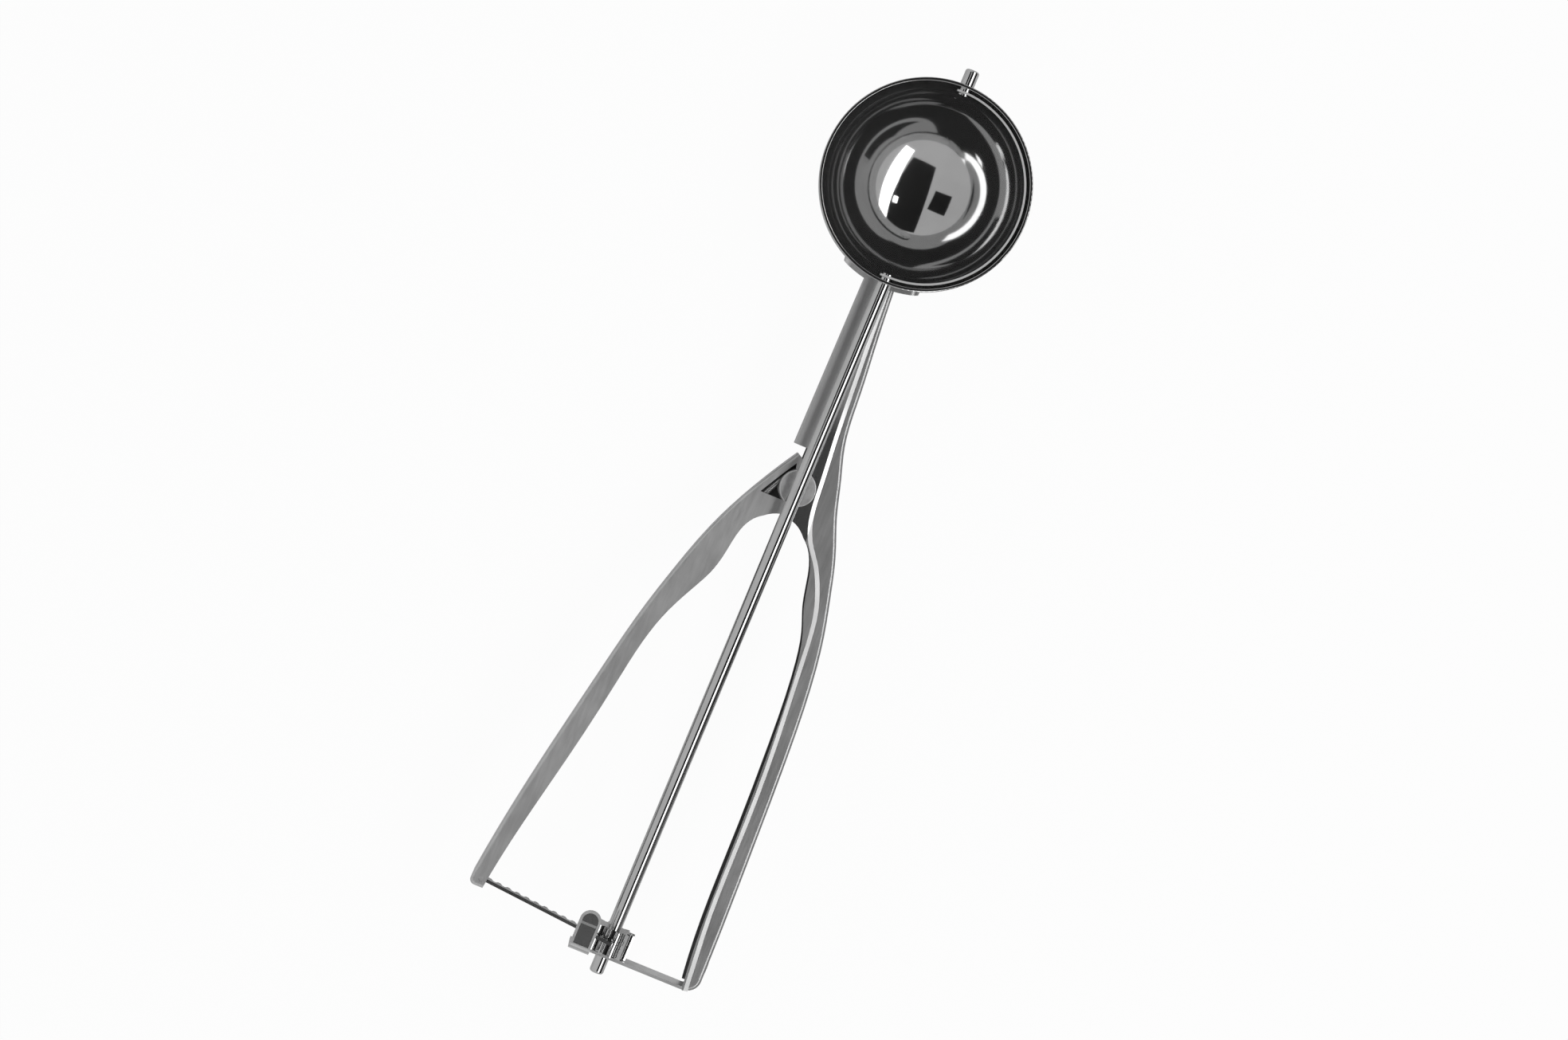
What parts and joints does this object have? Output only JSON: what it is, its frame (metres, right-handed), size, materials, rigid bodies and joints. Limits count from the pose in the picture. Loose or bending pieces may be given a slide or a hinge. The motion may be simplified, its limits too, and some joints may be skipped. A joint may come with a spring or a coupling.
{
  "type": "lever ice cream scoop",
  "caption": "Steel ice cream scoop with a hemispherical bowl whose sweep blade is turned by squeezing a sprung lever through a rack, a pinion and a long rod.",
  "frame": {"origin": "centre of the bowl's rim plane", "axes": "+Z out of the bowl's mouth, -Y along the handles, -X towards the moving lever"},
  "size_m": [0.0628, 0.237, 0.0352],
  "materials": {
    "bowl_steel": "mirror polished",
    "stamped_steel": "satin",
    "rivet_steel": "satin",
    "strip_steel": "bright",
    "spring_steel": "drawn wire",
    "bright_steel": "polished rod",
    "gear_steel": "cut teeth"
  },
  "bodies": {
    "frame": {"bowl": "bowl_steel", "fixed_handle": "stamped_steel", "pivot_rivet": "rivet_steel", "guide_arm": "strip_steel", "arm_rivet": "rivet_steel", "handle_spring": "spring_steel"},
    "lever": {"lever": "stamped_steel", "rack_pin": "rivet_steel"},
    "rack": {"rack": "strip_steel"},
    "sweeper": {"sweep_rod": "bright_steel", "sweep_blade": "strip_steel", "top_pin": "bright_steel", "pinion": "gear_steel"}
  },
  "joints": [
    {"name": "lever_squeeze", "type": "hinge", "parent": "frame", "child": "lever", "pos_m": [0, -0.0794, -0.0103], "axis": [0, 0, 1], "range_deg": [0, 7.2], "stiffness_Nm_per_rad": 3, "springref_deg": -4.58, "deforming": ["handle_spring"]},
    {"name": "rack_swing", "type": "hinge", "parent": "lever", "child": "rack", "pos_m": [-0.0345, -0.195, 0.0007], "axis": [0, 0, 1], "range_deg": [-1.2, 0]},
    {"name": "blade_sweep", "type": "hinge", "parent": "frame", "child": "sweeper", "pos_m": [0, -0.1, -0.0031], "axis": [0, 1, 0], "range_deg": [0, 178]}
  ],
  "couplings": [
    {"joint": "blade_sweep", "follows": "lever_squeeze", "ratio": 24.675},
    {"joint": "rack_swing", "follows": "lever_squeeze", "ratio": -0.15}
  ]
}
